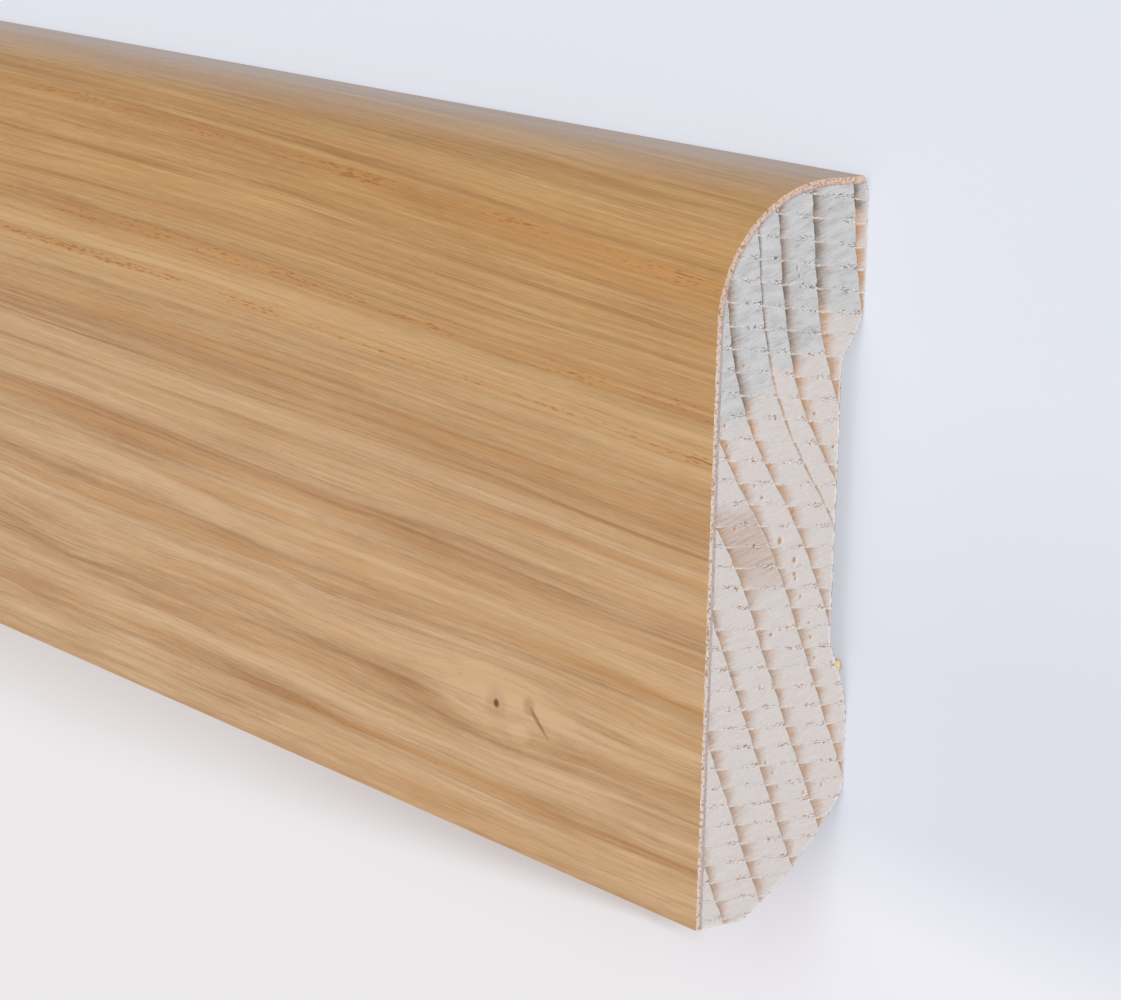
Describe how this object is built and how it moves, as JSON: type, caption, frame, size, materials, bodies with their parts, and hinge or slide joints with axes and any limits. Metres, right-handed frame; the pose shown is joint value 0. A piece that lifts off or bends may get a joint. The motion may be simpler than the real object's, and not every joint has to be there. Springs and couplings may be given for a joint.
{
  "type": "skirting moulding strip",
  "caption": "Length of skirting moulding: softwood core with a rounded top edge and relieved back, wrapped in oak veneer.",
  "frame": {"origin": "middle of the back plane, on which the strip lies, halfway along its length and halfway across its height", "axes": "+X along the strip to the pictured end, +Y up the moulding from its floor edge to its rounded top edge, +Z out of the wall from the back pads to the front face"},
  "size_m": [2.4, 0.06, 0.015],
  "materials": {
    "softwood": "matte",
    "oak": "satin"
  },
  "bodies": {
    "root": {"softwood_core": "softwood", "oak_veneer": "oak"}
  },
  "joints": []
}
